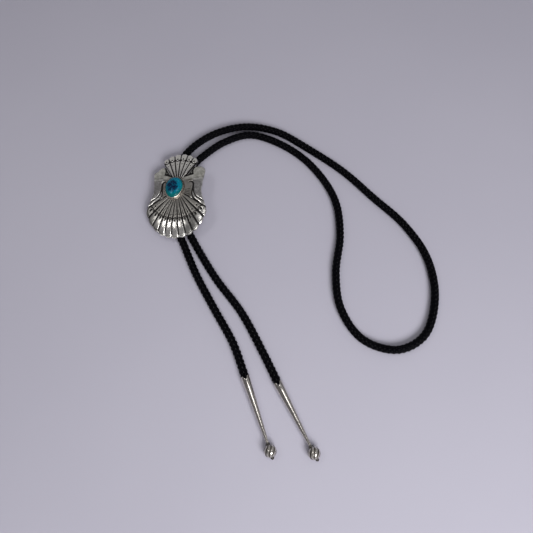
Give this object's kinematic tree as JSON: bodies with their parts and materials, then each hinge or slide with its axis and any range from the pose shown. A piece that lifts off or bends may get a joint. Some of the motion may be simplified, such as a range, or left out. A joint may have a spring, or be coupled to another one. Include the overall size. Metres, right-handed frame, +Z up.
{
  "type": "bolo tie",
  "caption": "Bolo tie: a fluted silver slide with a turquoise cabochon on a round braided leather cord with long silver tips, laid flat with its neck loop open.",
  "frame": {"origin": "on the table, in the middle of the box round the slide and the two tips", "axes": "+Z up from the table; +Y from the tips towards the top of the slide; +X from the slide towards the neck loop"},
  "size_m": [0.1833, 0.2198, 0.0138],
  "materials": {
    "silver": "polished silver, dark in the recesses",
    "turquoise": "polished turquoise with dark matrix",
    "clip_metal": "satin",
    "cord_leather": "black braided leather, satin"
  },
  "bodies": {
    "root": {"slide_plate": "silver", "stone": "turquoise", "cord_clip": "clip_metal", "tip_left": "silver", "tip_right": "silver", "cord": "cord_leather"}
  },
  "joints": []
}
